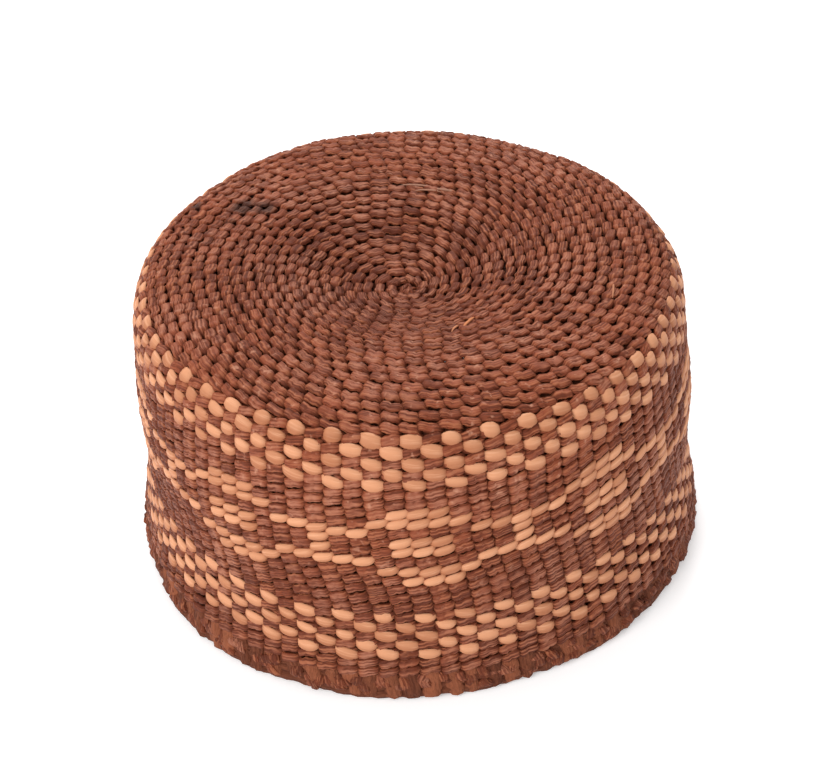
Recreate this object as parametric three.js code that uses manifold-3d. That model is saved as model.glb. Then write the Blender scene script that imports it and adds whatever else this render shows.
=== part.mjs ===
// A twined basketry cap with a flat, dished crown and a flaring wall. Millimetres, +Z up, with the
// origin at the middle of the ring that the rim rests on. The front of the pattern faces -Y.
//
// The fabric has three layers. Upright warp stakes run from the middle of the crown to the rim. A
// pair of weft strands twines round them: one strand lies outside the warps while the other lies
// inside, and they swap between one warp and the next. Here each outer turn round the cap is a
// closed ring of its own, a course, and the inner turns lie together as two linings.
import * as THREE from "three";
import { mergeVertices } from "three/addons/utils/BufferGeometryUtils.js";
import Module from "manifold-3d";

const wasm = await Module();
wasm.setup();

// The outer face, from the middle of the crown to the foot of the wall.
const capHeight = 94;
const knotRadius = 3.4;
const dishRadius = 50;
const dishDepth = 12.5;
const crownRadius = 84;
const shoulderReach = 10;
const shoulderDrop = 8.2;
const crownEdgeAngle = THREE.MathUtils.degToRad(42.5);
const bellyRadius = 89.2;
const bellyHeight = 53.7;
const waistRadius = 89.3;
const waistHeight = 31.5;
const rimTopRadius = 93.4;
const rimTopHeight = 9.7;
const rimRadius = 95;

// The fabric.
const strandThickness = 1.4;
const warpThickness = 1.7;
const warpWidth = 1.9;
const clearance = 0.3;
const warpCount = 100;
const ringSides = 24;

// Depths below the outer face.
const warpTop = strandThickness + clearance;
const warpBottom = warpTop + warpThickness;
const liningTop = warpBottom + clearance;
const fabricThickness = liningTop + strandThickness;

const dishHeight = (radius) =>
  capHeight - dishDepth * (1 - THREE.MathUtils.smoothstep(radius, knotRadius, dishRadius));

// The outline turns only at these stations. Each says how many courses lie between it and the one
// before it, so the stations fall on the edges of courses.
const station = (radius, height, courses) => ({ point: new THREE.Vector2(radius, height), courses });
const dishStation = (share, courses) => {
  const radius = THREE.MathUtils.lerp(knotRadius, dishRadius, share);
  return station(radius, dishHeight(radius), courses);
};
const shoulderStation = (angle, courses) =>
  station(
    crownRadius - shoulderReach * (1 - Math.sin(angle)),
    capHeight - shoulderDrop * (1 - Math.cos(angle)),
    courses,
  );
const middle = station(0, dishHeight(0), 0);
const knotEdge = dishStation(0, 0);
const innerDish = dishStation(4 / 14, 4);
const outerDish = dishStation(9 / 14, 5);
const dishEdge = dishStation(1, 5);
const plateauEdge = shoulderStation(0, 6);
const crownEdge = shoulderStation(crownEdgeAngle, 2);
const wallTop = shoulderStation(Math.PI / 2, 2);
const belly = station(bellyRadius, bellyHeight, 10);
const waist = station(waistRadius, waistHeight, 6);
const rimTop = station(rimTopRadius, rimTopHeight, 7);
const rimFoot = station(rimRadius, 0, 0);
const outline = [
  middle,
  knotEdge,
  innerDish,
  outerDish,
  dishEdge,
  plateauEdge,
  crownEdge,
  wallTop,
  belly,
  waist,
  rimTop,
  rimFoot,
];

// Each station gets its distance along the outline, and the step inwards that keeps every layer
// parallel to the outer face. Both edges of the rim are level, so there the step is level too.
const outwards = (from, to) => {
  const along = to.point.clone().sub(from.point).normalize();
  return new THREE.Vector2(-along.y, along.x);
};
outline.forEach((here, index) => {
  const before = outline[index - 1];
  const after = outline[index + 1];
  here.arc = before ? before.arc + here.point.distanceTo(before.point) : 0;
  if (!before) {
    here.step = new THREE.Vector2(0, 1);
  } else if (here === rimTop || here === rimFoot) {
    here.step = new THREE.Vector2(1 / outwards(before, here).x, 0);
  } else {
    const first = outwards(before, here);
    const second = outwards(here, after);
    here.step = first.clone().add(second).divideScalar(1 + first.dot(second));
  }
});

// The point at a distance along the outline and a depth below it: x is its radius, y its height.
function layerPoint(arc, depth) {
  const next = Math.max(1, outline.findIndex((here) => here.arc >= arc - 1e-6));
  const [from, to] = [outline[next - 1], outline[next]];
  const share = (arc - from.arc) / (to.arc - from.arc);
  const start = from.point.clone().addScaledVector(from.step, -depth);
  const end = to.point.clone().addScaledVector(to.step, -depth);
  return start.lerp(end, share);
}

// The corners of a layer between two distances, at one depth.
function layerLine(fromArc, toArc, depth) {
  const turns = outline.filter((here) => here.arc > fromArc + 1e-6 && here.arc < toArc - 1e-6);
  return [fromArc, ...turns.map((here) => here.arc), toArc].map((arc) => layerPoint(arc, depth));
}

// A ring whose section lies between two distances and two depths. One that starts at the middle is
// a plate, whose profile starts and ends on the axis.
function revolve(fromArc, toArc, top, bottom) {
  const lower = layerLine(fromArc, toArc, bottom);
  const upper = layerLine(fromArc, toArc, top);
  const profile = [...lower, ...upper.reverse()];
  if (fromArc > 0) profile.push(profile[0].clone());
  return new THREE.LatheGeometry(profile, ringSides).rotateX(Math.PI / 2);
}

const weftBrown = new THREE.MeshStandardMaterial({ color: 0x8e5540, roughness: 0.6, metalness: 0 });
const patternTan = new THREE.MeshStandardMaterial({ color: 0xc98a63, roughness: 0.55, metalness: 0 });
const liningBrown = new THREE.MeshStandardMaterial({ color: 0x7c4a36, roughness: 0.7, metalness: 0 });
const warpWood = new THREE.MeshStandardMaterial({ color: 0x6b4030, roughness: 0.75, metalness: 0 });

const cap = new THREE.Group();
function place(name, geometry, material) {
  const mesh = new THREE.Mesh(geometry, material.clone());
  mesh.name = name;
  cap.add(mesh);
}

// The knot that the first strands start from covers the crossing of the first warps.
place("start_knot", revolve(0, knotEdge.arc - clearance / 2, 0, strandThickness), weftBrown);

// Courses are counted outwards on the crown and downwards on the wall. Pattern rows carry a strip
// of tan overlay on some of their stitches: two checked bands, and a band of blocks between them.
const patternRows = [1, 2, 3, 4, 5, 8, 9, 10, 11, 12, 13, 14, 15, 19, 20, 21, 22, 23];
function addCourses(name, stations, isPatterned) {
  let number = 0;
  for (const to of stations) {
    const from = outline[outline.indexOf(to) - 1];
    const pitch = (to.arc - from.arc) / to.courses;
    for (let course = 0; course < to.courses; course += 1) {
      number += 1;
      const start = from.arc + course * pitch + clearance / 2;
      const end = from.arc + (course + 1) * pitch - clearance / 2;
      place(
        name + "_course_" + String(number).padStart(2, "0"),
        revolve(start, end, 0, strandThickness),
        isPatterned(number) ? patternTan : weftBrown,
      );
    }
  }
}
addCourses("crown", [innerDish, outerDish, dishEdge, plateauEdge, crownEdge], () => false);
addCourses("wall", [wallTop, belly, waist, rimTop], (number) => patternRows.includes(number));

// A course is a ring with flat sides, so a warp lies on the flat, nearer the axis than the corners.
function flatShare(angle) {
  const side = (2 * Math.PI) / ringSides;
  const fromCorner = angle - side * Math.floor(angle / side);
  return Math.cos(side / 2) / Math.cos(fromCorner - side / 2);
}

// Where the warps are set in. The first ones cross at the middle, and as the crown widens the
// pointed tips of added ones slip in beside them, which keeps the stitches of even length.
const insertions = [
  { at: knotEdge, warps: 10 },
  { at: innerDish, warps: 20 },
  { at: outerDish, warps: 40 },
  { at: dishEdge, warps: 62 },
  { at: plateauEdge, warps: warpCount },
];
const hubRadius = 3.2;
const hubThickness = warpThickness + 0.1;
const tip = { width: 0.8, thickness: 1.1 };
const shaft = { width: warpWidth, thickness: warpThickness };

function warpPaths() {
  const angleOf = (rank, warps) => (rank * 2 * Math.PI) / warps;
  const [first, ...later] = insertions;
  let paths = Array.from({ length: first.warps }, (_, rank) => {
    const angle = angleOf(rank, first.warps);
    return [
      { arc: hubRadius / 2, angle, section: shaft },
      { arc: first.at.arc, angle, section: shaft },
    ];
  });
  for (const { at, warps } of later) {
    const spread = new Array(warps).fill(null);
    paths.forEach((path, rank) => {
      spread[Math.round((rank * warps) / paths.length)] = path;
    });
    for (let rank = 0; rank < warps; rank += 1) {
      if (spread[rank]) continue;
      const beside = paths[Math.floor((rank * paths.length) / warps)];
      spread[rank] = [{ ...beside.at(-1), section: tip }];
    }
    paths = spread.map((path) => [...path]);
    paths.forEach((path, rank) => {
      path.push({ arc: at.arc, angle: angleOf(rank, warps), section: shaft });
    });
  }
  for (const at of [crownEdge, wallTop, belly, waist]) {
    for (const path of paths) path.push({ ...path.at(-1), arc: at.arc });
  }
  for (const path of paths) path.push({ ...path.at(-1), arc: rimTop.arc - clearance / 2 });
  return paths;
}

// A warp is a bar of box section bent along its path.
function warpGeometry(path) {
  const lengths = path.length - 1;
  const geometry = new THREE.BoxGeometry(1, 1, lengths, 1, 1, lengths);
  const corners = geometry.getAttribute("position");
  for (let index = 0; index < corners.count; index += 1) {
    const { arc, angle, section } = path[Math.round(corners.getZ(index) + lengths / 2)];
    const depth = (warpTop + warpBottom) / 2 - corners.getY(index) * section.thickness;
    const across = corners.getX(index) * section.width;
    const point = layerPoint(arc, depth);
    const radius = point.x * flatShare(angle);
    corners.setXYZ(
      index,
      radius * Math.sin(angle) + across * Math.cos(angle),
      -radius * Math.cos(angle) + across * Math.sin(angle),
      point.y,
    );
  }
  return geometry;
}

function toSolid(geometry) {
  const bare = geometry.clone();
  bare.deleteAttribute("normal");
  bare.deleteAttribute("uv");
  const merged = mergeVertices(bare, 1e-4);
  return new wasm.Manifold(
    new wasm.Mesh({
      numProp: 3,
      vertProperties: new Float32Array(merged.getAttribute("position").array),
      triVerts: new Uint32Array(merged.index.array),
    }),
  );
}

function toGeometry(solid) {
  const mesh = solid.getMesh();
  const geometry = new THREE.BufferGeometry();
  geometry.setAttribute("position", new THREE.BufferAttribute(mesh.vertProperties, 3));
  geometry.setIndex(new THREE.BufferAttribute(mesh.triVerts, 1));
  geometry.computeVertexNormals();
  return geometry;
}

// The warps hold each other only where they cross and where tips are set in, as one body.
const hub = new THREE.CylinderGeometry(hubRadius, hubRadius, hubThickness, 20)
  .rotateX(Math.PI / 2)
  .translate(0, 0, middle.point.y - (warpTop + warpBottom) / 2);
const warps = warpPaths().reduce((joined, path) => joined.add(toSolid(warpGeometry(path))), toSolid(hub));
place("warp_stakes", toGeometry(warps), warpWood);

// The inner turns of the strands, under the crown and down the wall.
const seam = plateauEdge.arc;
place("inner_turns_crown", revolve(0, seam - clearance / 2, liningTop, fabricThickness), liningBrown);
place(
  "inner_turns_wall",
  revolve(seam + clearance / 2, rimTop.arc - clearance / 2, liningTop, fabricThickness),
  liningBrown,
);

// Below the last course the warps are packed together, turned and trimmed. Each end is a nub that
// stands out from the groove beside it, and their cut feet lie in one plane.
const nubShare = 0.62;
const grooveDepth = 1.2;
function rimGeometry() {
  const loop = (count, depthAt) =>
    Array.from({ length: count }, (_, index) => {
      const { angle, depth } = depthAt(index);
      return new THREE.Vector2(Math.sin(angle), -Math.cos(angle)).multiplyScalar(rimRadius - depth);
    });
  const pitch = (2 * Math.PI) / warpCount;
  const nubs = loop(3 * warpCount, (index) => {
    const corner = index % 3;
    const offset = corner === 2 ? 0.5 : (corner - 0.5) * nubShare;
    return { angle: (Math.floor(index / 3) + offset) * pitch, depth: corner === 2 ? grooveDepth : 0 };
  });
  const inside = loop(ringSides, (index) => ({
    angle: (index * 2 * Math.PI) / ringSides,
    depth: fabricThickness,
  }));
  const shape = new THREE.Shape(nubs);
  shape.holes.push(new THREE.Path(inside));
  const geometry = new THREE.ExtrudeGeometry(shape, { depth: 1, bevelEnabled: false });
  const corners = geometry.getAttribute("position");
  for (let index = 0; index < corners.count; index += 1) {
    const flat = new THREE.Vector2(corners.getX(index), corners.getY(index));
    const arc = corners.getZ(index) > 0.5 ? rimTop.arc + clearance / 2 : rimFoot.arc;
    const point = layerPoint(arc, rimRadius - flat.length());
    flat.setLength(point.x);
    corners.setXYZ(index, flat.x, flat.y, point.y);
  }
  return geometry;
}
place("rim_warp_ends", rimGeometry(), warpWood);

export default cap;
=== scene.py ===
import math
import random

import bpy
import numpy as np
from mathutils import Matrix, Vector


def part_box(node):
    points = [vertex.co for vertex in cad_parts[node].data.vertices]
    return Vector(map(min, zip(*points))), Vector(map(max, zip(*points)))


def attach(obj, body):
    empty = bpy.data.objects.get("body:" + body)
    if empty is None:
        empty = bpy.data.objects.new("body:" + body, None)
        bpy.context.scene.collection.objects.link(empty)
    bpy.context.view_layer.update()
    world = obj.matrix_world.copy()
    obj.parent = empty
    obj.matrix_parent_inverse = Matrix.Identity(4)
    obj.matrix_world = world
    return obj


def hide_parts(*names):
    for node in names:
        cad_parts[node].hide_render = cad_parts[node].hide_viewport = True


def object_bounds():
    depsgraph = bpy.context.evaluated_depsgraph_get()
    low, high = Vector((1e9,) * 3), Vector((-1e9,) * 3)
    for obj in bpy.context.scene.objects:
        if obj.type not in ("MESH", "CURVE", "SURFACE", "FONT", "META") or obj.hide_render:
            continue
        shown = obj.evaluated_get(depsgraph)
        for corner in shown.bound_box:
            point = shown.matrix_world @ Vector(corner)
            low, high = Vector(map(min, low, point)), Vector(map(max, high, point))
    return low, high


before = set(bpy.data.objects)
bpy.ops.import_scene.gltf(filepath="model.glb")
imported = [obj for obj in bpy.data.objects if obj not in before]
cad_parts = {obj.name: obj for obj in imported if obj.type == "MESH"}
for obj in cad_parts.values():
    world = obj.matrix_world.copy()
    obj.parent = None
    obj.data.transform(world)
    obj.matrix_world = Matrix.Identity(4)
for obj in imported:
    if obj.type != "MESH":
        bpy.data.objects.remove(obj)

cad_low, cad_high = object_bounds()

# --- Shape of the cap ---
# Nothing stiffens the cap: its dished crown, round shoulder and flaring wall are held by tight
# twining alone. Every piece lies in one fabric that follows the rings of the frame, and places
# in it are a distance down from the crown's middle, an angle round the cap and a depth inwards.
MM = 0.001
crown_nodes = [f"crown_course_{number:02d}" for number in range(1, 23)]
wall_nodes = [f"wall_course_{number:02d}" for number in range(1, 26)]
ring_boxes = [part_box(node) for node in ["start_knot", *crown_nodes, *wall_nodes, "rim_warp_ends"]]
ring_tops = [high.z for low, high in ring_boxes]
# The outline goes by the outer edge of every ring, from the crown's middle to the rim's foot.
outline = np.array([
    [0.0, *(high.x for low, high in ring_boxes)],
    [ring_tops[0], *map(min, ring_tops, ring_tops[1:]), cad_low.z],
]).T
for smoothing in range(2):
    outline[1:-2] = (outline[:-3] + 2 * outline[1:-2] + outline[2:-1]) / 4
outline_arc = np.append(0.0, np.cumsum(np.linalg.norm(np.diff(outline, axis=0), axis=1)))
outline_along = np.gradient(outline, outline_arc, axis=0)
FABRIC_THICKNESS = 5.1 * MM
CROWN_REACH = outline_arc[len(crown_nodes) + 1]
WALL_REACH = outline_arc[-1] - CROWN_REACH
CROWN_RISE = 0.4 * MM
# The cap has settled out of round: waves round the cap, the turn where each begins, and how far in
# millimetres it swings the fabric outwards at the crown's edge, half way down and at the rim.
OUT_OF_ROUND = (
    (0, 0.00, (1.0, -0.8, 0.2)),
    (1, -0.26, (0.3, 0.9, 0.5)),
    (2, 0.47, (0.8, 1.8, 1.0)),
    (3, -2.36, (0.2, 1.3, 1.2)),
)
# Rows sway up and down and the face is dented, by ripples that each have a size in millimetres,
# a number of waves round the cap, a wind down it in radians per metre, and a turn to begin at.
ROW_RIPPLES = (
    (0.8, 1, 0, -0.4),
    (0.3, 3, 90, 0.0),
    (0.2, 7, -60, 1.0),
)
DENT_RIPPLES = (
    (0.35, 4, 45, 0.0),
    (0.20, 9, -110, 0.0),
)
# All rows sit a little above their rings, and on the right those about the upper edge of the
# lower checks ride higher. Lifts are in millimetres, and places and spreads are shares of the
# way down the wall.
ROW_LIFT = 0.5
RIGHT_LIFT = 2.3
RIGHT_LIFT_PLACE = 0.69
RIGHT_LIFT_SPREAD = 0.09
# Columns lean to the right on the way down, stand closer here and wider there, and half way down
# the wall they drift by about one column. These are angles in radians.
COLUMN_RIPPLES = (
    (0.026, 2, 0, 0.0),
    (-0.025, 1, 0, 0.0),
)
COLUMN_LEAN = 0.034
COLUMN_LEAN_PLACE = 0.31
COLUMN_DRIFT = 0.062
COLUMN_DRIFT_PLACE = 0.505
COLUMN_DRIFT_SPREAD = 0.12


def ripple(rows, arc, angle):
    """The sum of some ripples at places in the fabric."""
    return sum(size * np.sin(waves * angle + wind * arc + begin) for size, waves, wind, begin in rows)


def on_fabric(arc, angle, depth):
    """Points in the fabric. Angle 0 faces -Y, and angles grow towards +X."""
    spread = np.clip(arc / CROWN_REACH, 0, 1)
    down = np.clip((arc - CROWN_REACH) / WALL_REACH, 0, 1)
    on_right = np.clip(2 * np.sin(angle), 0, 1)
    near_lift = np.exp(-(((down - RIGHT_LIFT_PLACE) / RIGHT_LIFT_SPREAD) ** 2))
    sway = ripple(ROW_RIPPLES, arc, angle) - ROW_LIFT - RIGHT_LIFT * on_right * near_lift
    dent = ripple(DENT_RIPPLES, arc, angle)
    arc = arc + sway * spread**3 * (1 - down**4) * MM
    depth = depth + dent * spread * MM
    radius = np.interp(arc, outline_arc, outline[:, 0])
    height = np.interp(arc, outline_arc, outline[:, 1])
    radius = radius + depth * np.interp(arc, outline_arc, outline_along[:, 1])
    height = height - depth * np.interp(arc, outline_arc, outline_along[:, 0])
    for waves, start, swings in OUT_OF_ROUND:
        swing = np.interp(down, (0, 0.5, 1), swings)
        radius = radius + spread * swing * np.cos(waves * angle - start) * MM
    height = height + CROWN_RISE * spread * (1 - down)
    drift = (1 + np.tanh((down - COLUMN_DRIFT_PLACE) / COLUMN_DRIFT_SPREAD)) / 2
    slant = COLUMN_LEAN * (down - COLUMN_LEAN_PLACE) * np.cos(angle) + COLUMN_DRIFT * drift
    bearing = angle + spread * (slant + ripple(COLUMN_RIPPLES, arc, angle))
    return np.stack((radius * np.sin(bearing), -radius * np.cos(bearing), height), axis=-1)


def uphill(arc, angle):
    """The direction along the fabric towards the crown's middle."""
    step = 0.5 * MM
    rise = on_fabric(arc - step, angle, 0.0) - on_fabric(arc + step, angle, 0.0)
    return rise / np.linalg.norm(rise, axis=-1, keepdims=True)


def sideways(angle):
    """The level direction round the cap, towards greater angles."""
    return np.stack((np.cos(angle), np.sin(angle), 0 * angle), axis=-1)


# --- Warps ---
# The warps are peeled shoots, reddish brown and pressed flat by the twining. Ten cross at the
# middle of the crown, and as it widens the points of added ones are slipped in beside them, up
# to a hundred at the wall. Strands cover them, so they show only as dark wood in the gaps.
WARPS = 100
FIRST_WARPS = 10
WARP_SPACING = 2 * math.pi / WARPS
WARP_DEPTH = FABRIC_THICKNESS / 2
WARP_WIDTH = 4.4 * MM
WARP_THICKNESS = 1.6 * MM
MIDDLE_START = 1.2 * MM
MIDDLE_SIZE = 0.7
POINT_SIZE = 0.35
INNER_CROWN = 50 * MM
INNER_STITCH = 5.4 * MM
OUTER_STITCH = 5.25 * MM
chance = random.Random(11)


def even_columns(course_radius, most):
    """How many stitches fit round a crown course, an even number so that both strands close."""
    stitch_length = INNER_STITCH if course_radius < INNER_CROWN else OUTER_STITCH
    return min(most, max(FIRST_WARPS, 2 * round(math.pi * course_radius / stitch_length)))


course_arcs = (outline_arc[1:-2] + outline_arc[2:-1]) / 2
course_pitches = outline_arc[2:-1] - outline_arc[1:-2]
# From the shoulder inwards, each crown course drops the warps that are added outside it, and the
# rest are spread evenly again, turned as little as possible.
wall_angles = np.arange(WARPS) * WARP_SPACING
warp_paths = {warp: [] for warp in range(WARPS)}
standing = list(range(WARPS))
standing_angles = wall_angles
column_angles = [wall_angles] * len(crown_nodes + wall_nodes)
for course in reversed(range(len(crown_nodes))):
    arc = course_arcs[course]
    wanted = even_columns(np.interp(arc, outline_arc, outline[:, 0]), len(standing))
    set_in = len(standing) - wanted
    share = len(standing) / max(1, set_in)
    added = {int((number + chance.random()) * share) for number in range(set_in)}
    kept = [rank for rank in range(len(standing)) if rank not in added]
    ranks = np.arange(len(kept)) * 2 * math.pi / len(kept)
    angles = ranks + np.mean(standing_angles[kept] - ranks)
    for rank in sorted(added):
        beside = np.searchsorted(kept, rank) - 1
        beside_angle = angles[beside] - (2 * math.pi if beside < 0 else 0)
        warp_paths[standing[rank]].append((arc, beside_angle, POINT_SIZE))
    standing = [standing[rank] for rank in kept]
    standing_angles = angles
    column_angles[course] = angles
    for warp, angle in zip(standing, angles):
        warp_paths[warp].append((arc, angle, 1.0))
for warp, angle in zip(standing, standing_angles):
    warp_paths[warp].append((MIDDLE_START, angle, MIDDLE_SIZE))
for warp in range(WARPS):
    warp_paths[warp].reverse()
    for arc in course_arcs[len(crown_nodes):]:
        warp_paths[warp].append((arc, wall_angles[warp], 1.0))


class StrandMesh:
    """Gathers bars of plant material into one mesh, with the attributes that the finishes read.

    fibre is each point's place in its bar, in metres: along it, across it and through it. tone is
    a shade for each stitch or bar, and crest is 1 on the parts that stand outermost.
    """

    SECTION = 8
    SQUARENESS = 0.75

    def __init__(self):
        self.points, self.faces, self.fibres, self.tones, self.crests = [], [], [], [], []
        self.count = 0
        self.chance = np.random.default_rng(7)

    def add_bar(self, centres, ups, half_heights, half_widths, tones, crests, rough=0.0):
        """A bar along a path, with ups across its face. rough is how uneven its sides are.

        Sizes, tones and crests are each one number or a number for every centre.
        """
        half_heights, half_widths, tones, crests = (
            np.broadcast_to(values, len(centres))
            for values in (half_heights, half_widths, tones, crests)
        )
        along = np.gradient(centres, axis=0)
        along /= np.linalg.norm(along, axis=1, keepdims=True)
        ups = ups - along * np.sum(along * ups, axis=1, keepdims=True)
        ups /= np.linalg.norm(ups, axis=1, keepdims=True)
        outs = np.cross(along, ups)
        turns = np.arange(self.SECTION) * 2 * math.pi / self.SECTION
        up_share = np.sign(np.cos(turns)) * np.abs(np.cos(turns)) ** self.SQUARENESS
        out_share = np.sign(np.sin(turns)) * np.abs(np.sin(turns)) ** self.SQUARENESS
        bumps = 1 + rough * self.chance.uniform(-1, 1, (len(centres), self.SECTION))
        up_offset = half_heights[:, None] * up_share * bumps
        out_offset = half_widths[:, None] * out_share * bumps
        rings = centres[:, None] + up_offset[..., None] * ups[:, None]
        rings = rings + out_offset[..., None] * outs[:, None]
        steps = np.linalg.norm(np.diff(centres, axis=0), axis=1)
        distance = self.chance.random() + np.append(0.0, np.cumsum(steps))
        distance = np.broadcast_to(distance[:, None], up_offset.shape)
        self.points.append(rings.reshape(-1, 3))
        self.fibres.append(np.stack((distance, up_offset, out_offset), axis=-1).reshape(-1, 3))
        self.tones.append(np.repeat(tones, self.SECTION))
        self.crests.append(np.repeat(crests, self.SECTION))
        station = np.arange(len(centres) - 1)[:, None] * self.SECTION
        corner = np.arange(self.SECTION)[None]
        beside = (corner + 1) % self.SECTION
        after = station + self.SECTION
        sides = np.stack((station + beside, after + beside, after + corner, station + corner), axis=-1)
        self.faces.extend((sides.reshape(-1, 4) + self.count).tolist())
        first = np.arange(self.SECTION) + self.count
        last = first + (len(centres) - 1) * self.SECTION
        self.faces.append(first.tolist())
        self.faces.append(last[::-1].tolist())
        self.count += len(centres) * self.SECTION

    def finish(self, name, material, nodes):
        """Makes the piece, hangs it on the root body and hides the CAD parts that it stands for."""
        mesh = bpy.data.meshes.new(name)
        mesh.from_pydata(np.concatenate(self.points), [], self.faces)
        for layer_name, kind, values in (
            ("fibre", "FLOAT_VECTOR", self.fibres),
            ("tone", "FLOAT", self.tones),
            ("crest", "FLOAT", self.crests),
        ):
            key = "vector" if kind == "FLOAT_VECTOR" else "value"
            layer = mesh.attributes.new(layer_name, kind, "POINT")
            layer.data.foreach_set(key, np.concatenate(values).astype(np.float32).ravel())
        mesh.materials.append(material)
        mesh.shade_smooth()
        piece = bpy.data.objects.new(name, mesh)
        bpy.context.scene.collection.objects.link(piece)
        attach(piece, "root")
        if nodes:
            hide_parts(*nodes)


class Wire:
    """A socket in a material's nodes. Sums on it add Math nodes."""

    def __init__(self, material, socket=None):
        self.material = material
        self.socket = socket

    def node(self, kind, settings, inputs, output=0):
        """Any node: its settings are set first, and then its sockets get their values or wires."""
        made = self.material.node_tree.nodes.new(kind)
        for key, value in settings.items():
            setattr(made, key, value)
        for key, value in inputs.items():
            if isinstance(value, Wire):
                self.material.node_tree.links.new(value.socket, made.inputs[key])
            else:
                made.inputs[key].default_value = value
        return Wire(self.material, made.outputs[output] if made.outputs else None)

    def maths(self, operation, *values):
        """A Math node on wires and numbers."""
        return self.node("ShaderNodeMath", {"operation": operation}, dict(enumerate(values)))

    def __add__(self, other):
        return self.maths("ADD", self, other)

    def __sub__(self, other):
        return self.maths("SUBTRACT", self, other)

    def __rsub__(self, other):
        return self.maths("SUBTRACT", other, self)

    def __mul__(self, other):
        return self.maths("MULTIPLY", self, other)

    __radd__ = __add__
    __rmul__ = __mul__

    def between(self, low, high):
        """0 at low, 1 at high, and smooth between them. low may be the greater of the two."""
        settings = {"interpolation_type": "SMOOTHSTEP"}
        inputs = {"Value": self, "From Min": low, "From Max": high}
        return self.node("ShaderNodeMapRange", settings, inputs)

    def mix(self, first, second):
        """The first colour where this is 0 and the second where it is 1.

        The node's sockets share their names between kinds of values, so the ones for colours are
        found by number.
        """
        return self.node(
            "ShaderNodeMix",
            {"data_type": "RGBA"},
            {"Factor": self, 6: first, 7: second},
            output=2,
        )


def new_finish(name):
    """An empty material, with the wire that its nodes start from."""
    material = bpy.data.materials.new(name)
    material.use_nodes = True
    material.node_tree.nodes.clear()
    return Wire(material)


def attribute(start, name, output):
    """One of the bars' attributes, by the output Vector for a place or Fac for a number."""
    return start.node("ShaderNodeAttribute", {"attribute_name": name}, {}, output=output)


def noise(start, place, scale, detail):
    """Plain noise: its scale is per unit of place."""
    return start.node("ShaderNodeTexNoise", {}, {"Vector": place, "Scale": scale, "Detail": detail})


def fibre_noise(start, along, across, detail):
    """Noise drawn out along the fibres: its scale along a bar and across it, per metre."""
    place = attribute(start, "fibre", "Vector")
    stretched = start.node(
        "ShaderNodeMapping",
        {"vector_type": "POINT"},
        {"Vector": place, "Scale": (along, across, across)},
    )
    return noise(start, stretched, 1.0, detail)


def finished(start, colour, roughness, height, relief):
    """Ends a finish in a Principled shader, with a bump of that relief in metres."""
    normal = start.node("ShaderNodeBump", {}, {"Height": height, "Strength": 1.0, "Distance": relief})
    shader = start.node(
        "ShaderNodeBsdfPrincipled",
        {},
        {"Base Color": colour, "Roughness": roughness, "Normal": normal, "Specular IOR Level": 0.15},
    )
    start.node("ShaderNodeOutputMaterial", {}, {"Surface": shader})
    return start.material


def wood_finish():
    """Peeled shoots, dark and matt, with a coarse grain along them."""
    dark_wood = (0.080, 0.020, 0.009, 1)
    red_wood = (0.300, 0.092, 0.042, 1)
    start = new_finish("warp_wood")
    grain = fibre_noise(start, 200, 1500, 4)
    tone = attribute(start, "tone", "Fac")
    crest = attribute(start, "crest", "Fac")
    # Painted shade: bars with a lower crest, such as the bundle behind the rim's nubs, are painted
    # darker.
    shade = (grain * 0.8 + tone * 0.4 + crest * 0.5 - 0.35).between(0.1, 0.9)
    colour = shade.mix(dark_wood, red_wood)
    return finished(start, colour, 0.85 - grain * 0.15, grain, 0.8 * MM)


warp_wood = wood_finish()
warp_bars = StrandMesh()
for warp, path in warp_paths.items():
    arcs, angles, sizes = np.array(path).T
    between = np.linspace(0, len(path) - 1, 2 * len(path) - 1)
    arcs, angles, sizes = (np.interp(between, range(len(path)), row) for row in (arcs, angles, sizes))
    warp_bars.add_bar(
        on_fabric(arcs, angles, WARP_DEPTH),
        sideways(angles),
        sizes * WARP_WIDTH / 2,
        sizes * WARP_THICKNESS / 2,
        chance.random(),
        0.0,
    )
warp_bars.finish("warps_round", warp_wood, ["warp_stakes"])

# --- Twined strands of the crown and the wall ---
# Two flat strands of split root are twined round every warp, one outside and one inside, and swap
# places from warp to warp, so each outer stitch is a lozenge with both ends pulled into the gaps.
# The real pair climbs in one spiral, and here each turn is closed into a course.
STRAND_THICKNESS = 1.6 * MM
STEPS_PER_STITCH = 6
# How far a stitch strays along its course and how much it swells, as shares of its size, and how
# far it shifts up, down, in or out.
STITCH_STRAY = 0.09
STITCH_SWELL = 0.12
STITCH_SHIFT = 0.25 * MM
OUTER_REACH = (FABRIC_THICKNESS - STRAND_THICKNESS) / 2 + 0.3 * MM
# Under the pattern's light stitches the outer strand is drawn in by its overlay.
DRAWN_IN = 0.75 * MM
# Dark stains on the left of the crown: where each is, and its radius.
STAINS = (
    ((-51 * MM, 32 * MM, 93 * MM), 5.0 * MM),
    ((-44 * MM, 31 * MM, 93 * MM), 4.0 * MM),
    ((-55 * MM, 24 * MM, 93 * MM), 2.2 * MM),
    ((-67 * MM, 34 * MM, 93 * MM), 2.4 * MM),
)
# The pattern on the wall: which of every ten columns is light, in each row that has any. Checked
# rows go round above and below, and between them blocks are joined by bars.
BAND_COLUMNS = 10
FRONT_COLUMN = 2
EVEN_COLUMNS = {0, 2, 4, 6, 8}
ODD_COLUMNS = {1, 3, 5, 7, 9}
BLOCK = {1, 2, 3}
WIDE_BLOCK = {0, 1, 2, 3, 4}
BAR = {5, 6, 7, 8, 9}
overlay_rows = {
    1: EVEN_COLUMNS, 2: ODD_COLUMNS, 3: EVEN_COLUMNS, 4: ODD_COLUMNS, 5: EVEN_COLUMNS,
    8: BLOCK, 9: WIDE_BLOCK, 10: BAR, 11: BLOCK | {7},
    12: BLOCK | {7}, 13: BAR, 14: WIDE_BLOCK, 15: BLOCK,
    19: ODD_COLUMNS, 20: EVEN_COLUMNS, 21: ODD_COLUMNS, 22: EVEN_COLUMNS, 23: ODD_COLUMNS,
}
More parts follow.
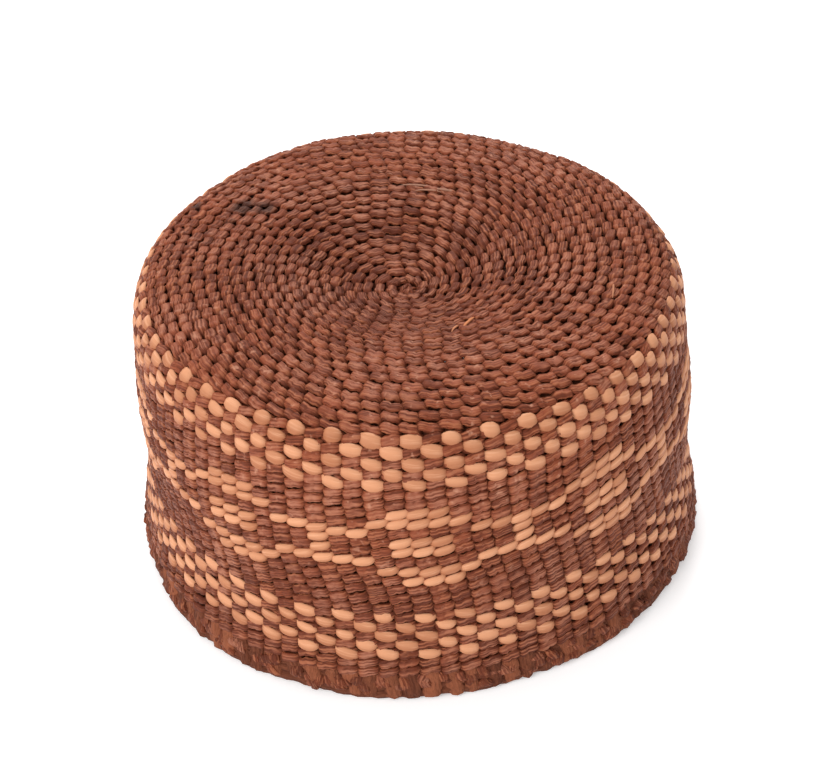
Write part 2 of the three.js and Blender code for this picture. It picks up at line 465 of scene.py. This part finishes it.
covered_stitches = {
    len(crown_nodes) + row - 1: [
        warp for warp in range(WARPS) if (warp + FRONT_COLUMN) % BAND_COLUMNS in columns
    ]
    for row, columns in overlay_rows.items()
}


def strand_finish():
    """Split root: reddish brown, with painted shade where it dives and a painted highlight on the
    crests.
    """
    dark_root = (0.120, 0.024, 0.009, 1)
    red_root = (0.290, 0.070, 0.030, 1)
    crack_brown = (0.075, 0.016, 0.007, 1)
    fibre_light = (0.420, 0.138, 0.062, 1)
    highlight_rose = (0.420, 0.175, 0.110, 1)
    glint_pink = (0.580, 0.270, 0.170, 1)
    gap_shade_brown = (0.095, 0.024, 0.011, 1)
    stain_black = (0.012, 0.006, 0.005, 1)
    start = new_finish("weft_brown")
    fine = fibre_noise(start, 110, 1700, 5)
    broad = fibre_noise(start, 60, 450, 2)
    tone = attribute(start, "tone", "Fac")
    crest = attribute(start, "crest", "Fac")
    place = start.node("ShaderNodeTexCoord", {}, {}, output="Object")
    patches = noise(start, place, 45.0, 3.0)
    # The shoulder is lighter than the dish, partly as wear and partly as painted light, which is
    # strongest at the front and the back.
    squeezed_place = start.node(
        "ShaderNodeVectorMath",
        {"operation": "MULTIPLY"},
        {0: place, 1: (0.6, 1.0, 1.0)},
    )
    reach = start.node("ShaderNodeVectorMath", {"operation": "LENGTH"}, {0: squeezed_place}, output="Value")
    wear_and_light = reach.between(84 * MM, 116 * MM)
    shade = (tone * 0.3 + broad * 0.7 + patches * 0.3 + wear_and_light * 0.34 - 0.36).between(0.0, 1.0)
    root = shade.mix(dark_root, red_root)
    cracked = (fine.between(0.47, 0.39) * 0.60).mix(root, crack_brown)
    streaked = (fine.between(0.51, 0.62) * 0.70).mix(cracked, fibre_light)
    bar_place = attribute(start, "fibre", "Vector")
    outward = start.node("ShaderNodeSeparateXYZ", {}, {"Vector": bar_place}, output="Z")
    # Painted highlight: the middle of each crest's top is painted a lighter rose, in patches.
    highlight_mask = outward.between(0.2 * MM, 0.8 * MM) * crest.between(0.6, 1.0)
    painted_highlight = highlight_mask * patches.between(0.35, 0.65) * fine.between(0.35, 0.6) * 0.6
    highlighted = painted_highlight.mix(streaked, highlight_rose)
    # Painted glints: small pink highlights on the crest tops, most on the shoulder.
    glints = noise(start, place, 500.0, 2.0)
    bright = (highlight_mask * glints.between(0.58, 0.76) * wear_and_light * 0.7).mix(highlighted, glint_pink)
    # Painted shade: the strand is painted darker where it dives into the gaps.
    colour = (crest.between(0.80, -0.15) * 0.75).mix(bright, gap_shade_brown)
    ragged = noise(start, place, 300.0, 3.0)
    for middle, radius in STAINS:
        away = start.node(
            "ShaderNodeVectorMath",
            {"operation": "DISTANCE"},
            {0: place, 1: middle},
            output="Value",
        )
        stain = (away + ragged * radius).between(radius * 1.75, radius)
        colour = (stain * 0.72).mix(colour, stain_black)
    return finished(start, colour, 0.70 - fine * 0.2, fine, 0.6 * MM)


def add_twined_pair(bars, course):
    """Both strands of one turn, each a bar that weaves out and in round every warp.

    Half heights are shares of the course's pitch. The crown's stitches are the more uneven ones,
    and they lean the other way from the wall's.
    """
    on_crown = course < len(crown_nodes)
    outer_half_height = 0.47 if on_crown else 0.52
    crossing_half_height = 0.34 if on_crown else 0.38
    crossing_rise = 1.5 * MM if on_crown else 1.2 * MM
    lean = -0.16 if on_crown else 0.16
    unevenness = 1.5 if on_crown else 1.1
    angles = column_angles[course]
    columns = len(angles)
    strays = [chance.uniform(-STITCH_STRAY, STITCH_STRAY) for column in range(columns)]
    angles = angles + unevenness * np.array(strays) * 2 * math.pi / columns
    stitch = columns // 2 + 0.5 + np.arange(columns * STEPS_PER_STITCH + 1) / STEPS_PER_STITCH
    angle = np.interp(stitch, np.arange(2 * columns), np.append(angles, angles + 2 * math.pi))
    nearest = np.round(stitch).astype(int) % columns
    pitch = course_pitches[course]
    for strand in range(2):
        turn = math.pi * (stitch - strand)
        outness = np.sin(math.pi / 2 * np.cos(turn))
        weight = np.abs(np.cos(turn))
        plump, lift, proud, tone = (
            unevenness * np.array([chance.uniform(-1, 1) for column in range(columns)])[nearest]
            for value in range(4)
        )
        share = crossing_half_height + (outer_half_height - crossing_half_height) * weight
        half_height = pitch * share * (1 + STITCH_SWELL * plump * weight)
        under_overlay = np.isin(nearest, covered_stitches.get(course, [])) & (outness > 0)
        depth = WARP_DEPTH - OUTER_REACH * outness - crossing_rise * np.sin(turn) ** 2
        depth -= STITCH_SHIFT * proud * weight * np.sign(outness) * ~under_overlay
        depth += DRAWN_IN * under_overlay * weight
        arc = course_arcs[course] - pitch * lean * np.sin(turn) + STITCH_SHIFT * lift * weight
        bars.add_bar(
            on_fabric(arc, angle, depth),
            uphill(arc, angle),
            half_height,
            STRAND_THICKNESS / 2,
            0.5 + 0.5 * tone,
            # How far out the strand lies: the finish paints shade where it dives and highlights on the
            # crests.
            outness,
            rough=0.12,
        )


strand_brown = strand_finish()
inner_nodes = {0: ["inner_turns_crown"], len(crown_nodes): ["inner_turns_wall"]}
for course, node in enumerate(crown_nodes + wall_nodes):
    pair = StrandMesh()
    add_twined_pair(pair, course)
    pair.finish(node + "_pair", strand_brown, [node, *inner_nodes.get(course, [])])

# --- Tan overlay ---
# On the pattern's stitches a second, light strip of stem is laid over the outer strand and goes
# down with it into the gaps, so it shows only outside. The pattern repeats ten times round the
# wall, with a checked band above and below and a band of blocks and bars between them.
OVERLAY_THICKNESS = 1.1 * MM
OVERLAY_REACH = (FABRIC_THICKNESS - OVERLAY_THICKNESS) / 2 + 0.7 * MM
BLOCK_ROWS = range(8, 16)


def overlay_finish():
    """Stem skin: a light orange tan, smooth and satiny, with faint lines along it, a painted highlight
    at its top and painted shade where it dives.
    """
    shaded_tan = (0.400, 0.145, 0.066, 1)
    light_tan = (0.660, 0.300, 0.158, 1)
    streak_cream = (0.780, 0.410, 0.245, 1)
    dive_shade_brown = (0.280, 0.088, 0.038, 1)
    start = new_finish("overlay_tan")
    fine = fibre_noise(start, 120, 1400, 2)
    broad = fibre_noise(start, 90, 400, 2)
    tone = attribute(start, "tone", "Fac")
    crest = attribute(start, "crest", "Fac")
    bar_place = attribute(start, "fibre", "Vector")
    upward = start.node("ShaderNodeSeparateXYZ", {}, {"Vector": bar_place}, output="Y")
    # Painted highlight: each stitch is painted lighter towards its top, as if lit from above, and its
    # cream streaks show only there.
    wear_and_light = upward.between(-1.6 * MM, 0.8 * MM) * crest.between(0.6, 1.0)
    shade = (tone * 0.6 + broad * 0.5 + wear_and_light * 0.5 - 0.35).between(0.0, 1.0)
    stem = shade.mix(shaded_tan, light_tan)
    streaked = (fine.between(0.48, 0.72) * wear_and_light * 0.5).mix(stem, streak_cream)
    # Painted shade: the ends are painted darker where they dive into the gaps.
    colour = crest.between(0.85, 0.35).mix(streaked, dive_shade_brown)
    return finished(start, colour, 0.60 - fine * 0.1, fine, 0.18 * MM)


def add_overlay(bars, course, column, is_block):
    """One stitch of overlay: a fat oval in the checks, and a bar with two cut corners in the blocks.

    top and foot are its two edges, as heights above the middle of its course.
    """
    pitch = course_pitches[course]
    place = np.linspace(-1, 1, 13)
    if is_block:
        stitch = chance.uniform(0.66, 0.74) * place
        dive = 0.45 * np.abs(place) ** 3
        left_cut = np.maximum((0.4 - place) / 1.4, 0)
        right_cut = np.maximum((0.4 + place) / 1.4, 0)
        top = 0.50 * pitch * (1 - 1.6 * left_cut**3.2)
        foot = -0.50 * pitch * (1 - 1.6 * right_cut**3.2)
        lean = chance.uniform(0.12, 0.26) * stitch
        plump = chance.uniform(0.92, 1.04)
    else:
        stitch = chance.uniform(0.56, 0.78) * place
        dive = 0.42 * np.abs(place) ** 2.6
        top = 0.50 * pitch * (1 - np.abs(place) ** 2.8) ** 0.8
        foot = -0.56 * pitch * (1 - np.abs(place) ** 2.0) ** 0.8
        lean = chance.uniform(-0.40, -0.05) * stitch
        plump = chance.uniform(1.02, 1.30)
    arc = course_arcs[course] - (top + foot) / 2 - pitch * lean
    arc = arc + chance.uniform(-0.3, 0.3) * MM
    angle = column_angles[course][column] + stitch * WARP_SPACING
    thickness = OVERLAY_THICKNESS * (1 - np.abs(place) ** 4)
    bars.add_bar(
        on_fabric(arc, angle, WARP_DEPTH - OVERLAY_REACH * (1 - dive)),
        uphill(arc, angle),
        np.maximum((top - foot) / 2 * plump, 0.15 * MM),
        np.maximum(thickness / 2, 0.12 * MM),
        chance.random(),
        # How far out the stitch lies: its diving ends are painted darker as shade.
        1 - dive,
        rough=0.03,
    )


stem_tan = overlay_finish()
for row in overlay_rows:
    strips = StrandMesh()
    course = len(crown_nodes) + row - 1
    for warp in covered_stitches[course]:
        add_overlay(strips, course, warp, row in BLOCK_ROWS)
    strips.finish(f"wall_course_{row:02d}_overlay", stem_tan, [])

# --- Start knot ---
# The first strands cross over one another on the crossing of the first warps, pulled down tight
# into the bottom of the dish.
KNOT_RADIUS = 3.2 * MM
KNOT_CROSSINGS = 9
KNOT_TURN = 2.0
knot = StrandMesh()
for crossing in range(KNOT_CROSSINGS):
    place = np.linspace(-1, 1, 9)
    along = KNOT_RADIUS * place
    aside = chance.uniform(-1.3, 1.3) * MM + 0.1 * along
    heading = crossing * KNOT_TURN + chance.uniform(-0.2, 0.2)
    arc = np.hypot(along, aside)
    angle = heading + np.arctan2(aside, along)
    depth = chance.uniform(0.0, 0.9) * MM + 1.536 * MM * place**2
    knot.add_bar(
        on_fabric(arc, angle, depth),
        np.broadcast_to((-math.sin(heading), math.cos(heading), 0.0), (len(place), 3)),
        chance.uniform(0.7, 1.0) * MM,
        0.6 * MM,
        chance.random(),
        # The ends dive into the dish, and the finish paints them darker as shade.
        1 - 0.9216 * place**2,
        rough=0.15,
    )
knot.finish("start_knot_strands", strand_brown, ["start_knot"])

# --- Loose fibres ---
# Wear has lifted a few fibres of the crown's strands, which arch up and still hold by both ends.
# They are lighter than the faces round them, orange where a tear is fresh and grey where it is old.

# Each has a distance down the crown, an angle, a length, a slant from the course in radians, a
# half width and an age from 0 to 1. Lengths are in millimetres.
LOOSE_FIBRES = (
    (38, 0.49, 8.0, -0.55, 0.55, 0.0),
    (39, 0.36, 4.0, -0.60, 0.45, 0.3),
    (44, 3.02, 12.0, 0.05, 0.35, 1.0),
    (42, 2.93, 9.0, -0.05, 0.35, 0.9),
    (43, 2.82, 8.0, 0.00, 0.40, 1.0),
    (66, 1.20, 8.0, -0.20, 0.30, 0.5),
)


def fibre_finish():
    """Torn root fibre, lighter than the weathered faces round it, and greyer as it ages."""
    torn_brown = (0.400, 0.120, 0.045, 1)
    torn_orange = (0.720, 0.290, 0.130, 1)
    old_grey = (0.330, 0.160, 0.105, 1)
    start = new_finish("torn_fibre")
    grain = fibre_noise(start, 200, 2500, 2)
    fresh = grain.mix(torn_brown, torn_orange)
    colour = attribute(start, "tone", "Fac").mix(fresh, old_grey)
    return finished(start, colour, 0.75 - grain * 0.1, grain, 0.2 * MM)


loose = StrandMesh()
for reach, bearing, length, slant, half_width, age in LOOSE_FIBRES:
    place = np.linspace(-0.5, 0.5, 9)
    arc = (reach + length * place * math.sin(slant)) * MM
    angle = bearing + length * place * math.cos(slant) / reach
    lifted = (-0.8 + 0.7 * np.abs(2 * place) ** 3) * MM
    taper = 1 - 0.7 * (2 * np.abs(place)) ** 3
    loose.add_bar(
        on_fabric(arc, angle, lifted),
        uphill(arc, angle),
        half_width * taper * MM,
        0.5 * half_width * taper * MM,
        age,
        1.0,
        rough=0.1,
    )
loose.finish("loose_fibres", fibre_finish(), [])

# --- Rim ---
# Below the last course the warps are turned along the edge and trimmed by hand. Each end is a
# rough nub of frayed wood, with torn folds across it, packed against the next with dark gaps.
RIM_TOP = outline_arc[-2]
RIM_FOOT = outline_arc[-1]
RIM_RADIUS = outline[-2, 0]
CORE_BARS = 3
CORE_SPACING = 2.9 * MM
NUB_START = RIM_TOP - 1.0 * MM
# Three ends on the left of the front are broken off short.
NOTCH = (92, 93, 94)
NOTCH_HEIGHT = 2.2 * MM
FOLDS_PER_WARP = 3
rim = StrandMesh()
folds = StrandMesh()
# The bundle of turned ends behind the nubs goes all the way round.
for layer in range(CORE_BARS):
    angle = math.pi + np.linspace(0, 2 * math.pi, 3 * WARPS + 1)
    arc = RIM_TOP + 1.3 * MM + CORE_SPACING * layer + 0.3 * MM * np.sin(17 * angle)
    rim.add_bar(
        on_fabric(arc, angle, 2.6 * MM),
        uphill(arc, angle),
        2.0 * MM,
        1.9 * MM,
        0.5,
        # A low crest, so the bundle behind the nubs is painted darker as shade.
        0.2,
        rough=0.15,
    )
for warp in range(WARPS):
    # A blunt nub, shorter where it is broken off.
    place = np.linspace(0, 1, 8)
    foot = RIM_FOOT - chance.uniform(0.6, 1.3) * MM - (NOTCH_HEIGHT if warp in NOTCH else 0)
    arc = NUB_START + place * (foot - NUB_START)
    wander = chance.uniform(-0.15, 0.15) + chance.uniform(-0.1, 0.35) * place
    angle = wall_angles[warp] + WARP_SPACING * wander
    blunt = (1 - place**8) ** 0.5 * 0.3 + 0.7
    rim.add_bar(
        on_fabric(arc, angle, WARP_DEPTH + chance.uniform(-0.3, 0.3) * MM),
        sideways(angle),
        chance.uniform(2.7, 3.3) * MM * blunt,
        2.4 * MM * blunt,
        chance.random(),
        # A crest at random, which the finish turns into more or less painted shade.
        chance.uniform(0.3, 0.8),
        rough=0.20,
    )
    for fold in range(FOLDS_PER_WARP):
        # Curled bits of torn strand, each with its ends tucked in.
        middle_arc = RIM_TOP + chance.uniform(0.15, 0.70) * (RIM_FOOT - RIM_TOP)
        middle_angle = wall_angles[warp] + WARP_SPACING * chance.uniform(-0.5, 0.5)
        slant = chance.gauss(0.4, 0.6)
        place = np.linspace(-0.5, 0.5, 8)
        length = chance.uniform(3.5, 6.0) * MM * place
        curl = chance.uniform(-1.2, 1.2) * MM * np.cos(math.pi * place)
        arc = np.minimum(middle_arc + length * math.cos(slant), RIM_FOOT - 1.8 * MM)
        angle = middle_angle + (length * math.sin(slant) + curl) / RIM_RADIUS
        taper = (1 - (2 * np.abs(place)) ** 3.5) ** 0.6
        folds.add_bar(
            on_fabric(arc, angle, chance.uniform(0.6, 1.3) * MM + 1.0 * MM * (2 * place) ** 2),
            sideways(angle),
            (chance.uniform(1.2, 2.1) * taper + 0.15) * MM,
            (chance.uniform(0.8, 1.2) * taper + 0.15) * MM,
            chance.random(),
            # A crest at random, which the finish turns into more or less painted shade.
            chance.uniform(0.2, 1.0),
            rough=0.22,
        )
rim.finish("rim_trimmed_ends", warp_wood, ["rim_warp_ends"])
folds.finish("rim_torn_folds", strand_brown, [])

# --- Floor, light and camera ---
# The cap stands on its rim on a plain white floor. Soft light comes from all round, with one lamp
# in front on the left and one above and behind, which picks out the far ends of the stitches.
bpy.ops.object.select_all(action="DESELECT")
bpy.ops.mesh.primitive_plane_add(size=60, location=(0, 0, cad_low.z - 0.1 * MM))
floor = bpy.context.object
floor.name = "floor"
floor_start = new_finish("floor_white")
floor_shader = floor_start.node(
    "ShaderNodeBsdfPrincipled",
    {},
    {
        "Base Color": (0.9, 0.9, 0.9, 1),
        "Roughness": 0.9,
        "Emission Color": (1, 1, 1, 1),
        "Emission Strength": 0.3,
    },
)
floor_start.node("ShaderNodeOutputMaterial", {}, {"Surface": floor_shader})
floor.data.materials.append(floor_start.material)

world = bpy.data.worlds.new("white_room")
world.use_nodes = True
world.node_tree.nodes["Background"].inputs["Color"].default_value = (1, 1, 1, 1)
world.node_tree.nodes["Background"].inputs["Strength"].default_value = 0.75
bpy.context.scene.world = world
bpy.context.scene.view_settings.view_transform = "Standard"
LAMP_AIM = Vector((0, 0, 50 * MM))


def add_soft_light(name, place, size, power):
    """A square lamp that faces the middle of the cap."""
    lamp = bpy.data.lights.new(name, "AREA")
    lamp.size = size
    lamp.energy = power
    light = bpy.data.objects.new(name, lamp)
    light.location = place
    light.rotation_euler = (LAMP_AIM - Vector(place)).to_track_quat("-Z", "Y").to_euler()
    bpy.context.scene.collection.objects.link(light)


add_soft_light("key_light", (-1.0, -0.9, 0.9), 0.7, 13)
add_soft_light("back_light", (0.0, 1.2, 1.2), 0.7, 16)

# The camera looks down on the front of the cap, and is rolled a little.
CAMERA_HEIGHT = math.radians(38.33)
CAMERA_ROLL = math.radians(-2.783)
CAMERA_DISTANCE = 468 * MM
aim = Vector((0, 0, 47 * MM))
back = Vector((0, -math.cos(CAMERA_HEIGHT), math.sin(CAMERA_HEIGHT)))
right = Vector((1, 0, 0))
up = back.cross(right)
rolled_right = math.cos(CAMERA_ROLL) * right + math.sin(CAMERA_ROLL) * up
rolled_up = math.cos(CAMERA_ROLL) * up - math.sin(CAMERA_ROLL) * right
camera_data = bpy.data.cameras.new("camera")
camera_data.lens = 62.7
camera_data.shift_x = 0.0007
camera_data.shift_y = -0.0103
camera = bpy.data.objects.new("camera", camera_data)
camera_axes = Matrix((rolled_right, rolled_up, back)).transposed().to_4x4()
camera.matrix_world = Matrix.Translation(aim + back * CAMERA_DISTANCE) @ camera_axes
bpy.context.scene.collection.objects.link(camera)
bpy.context.scene.camera = camera
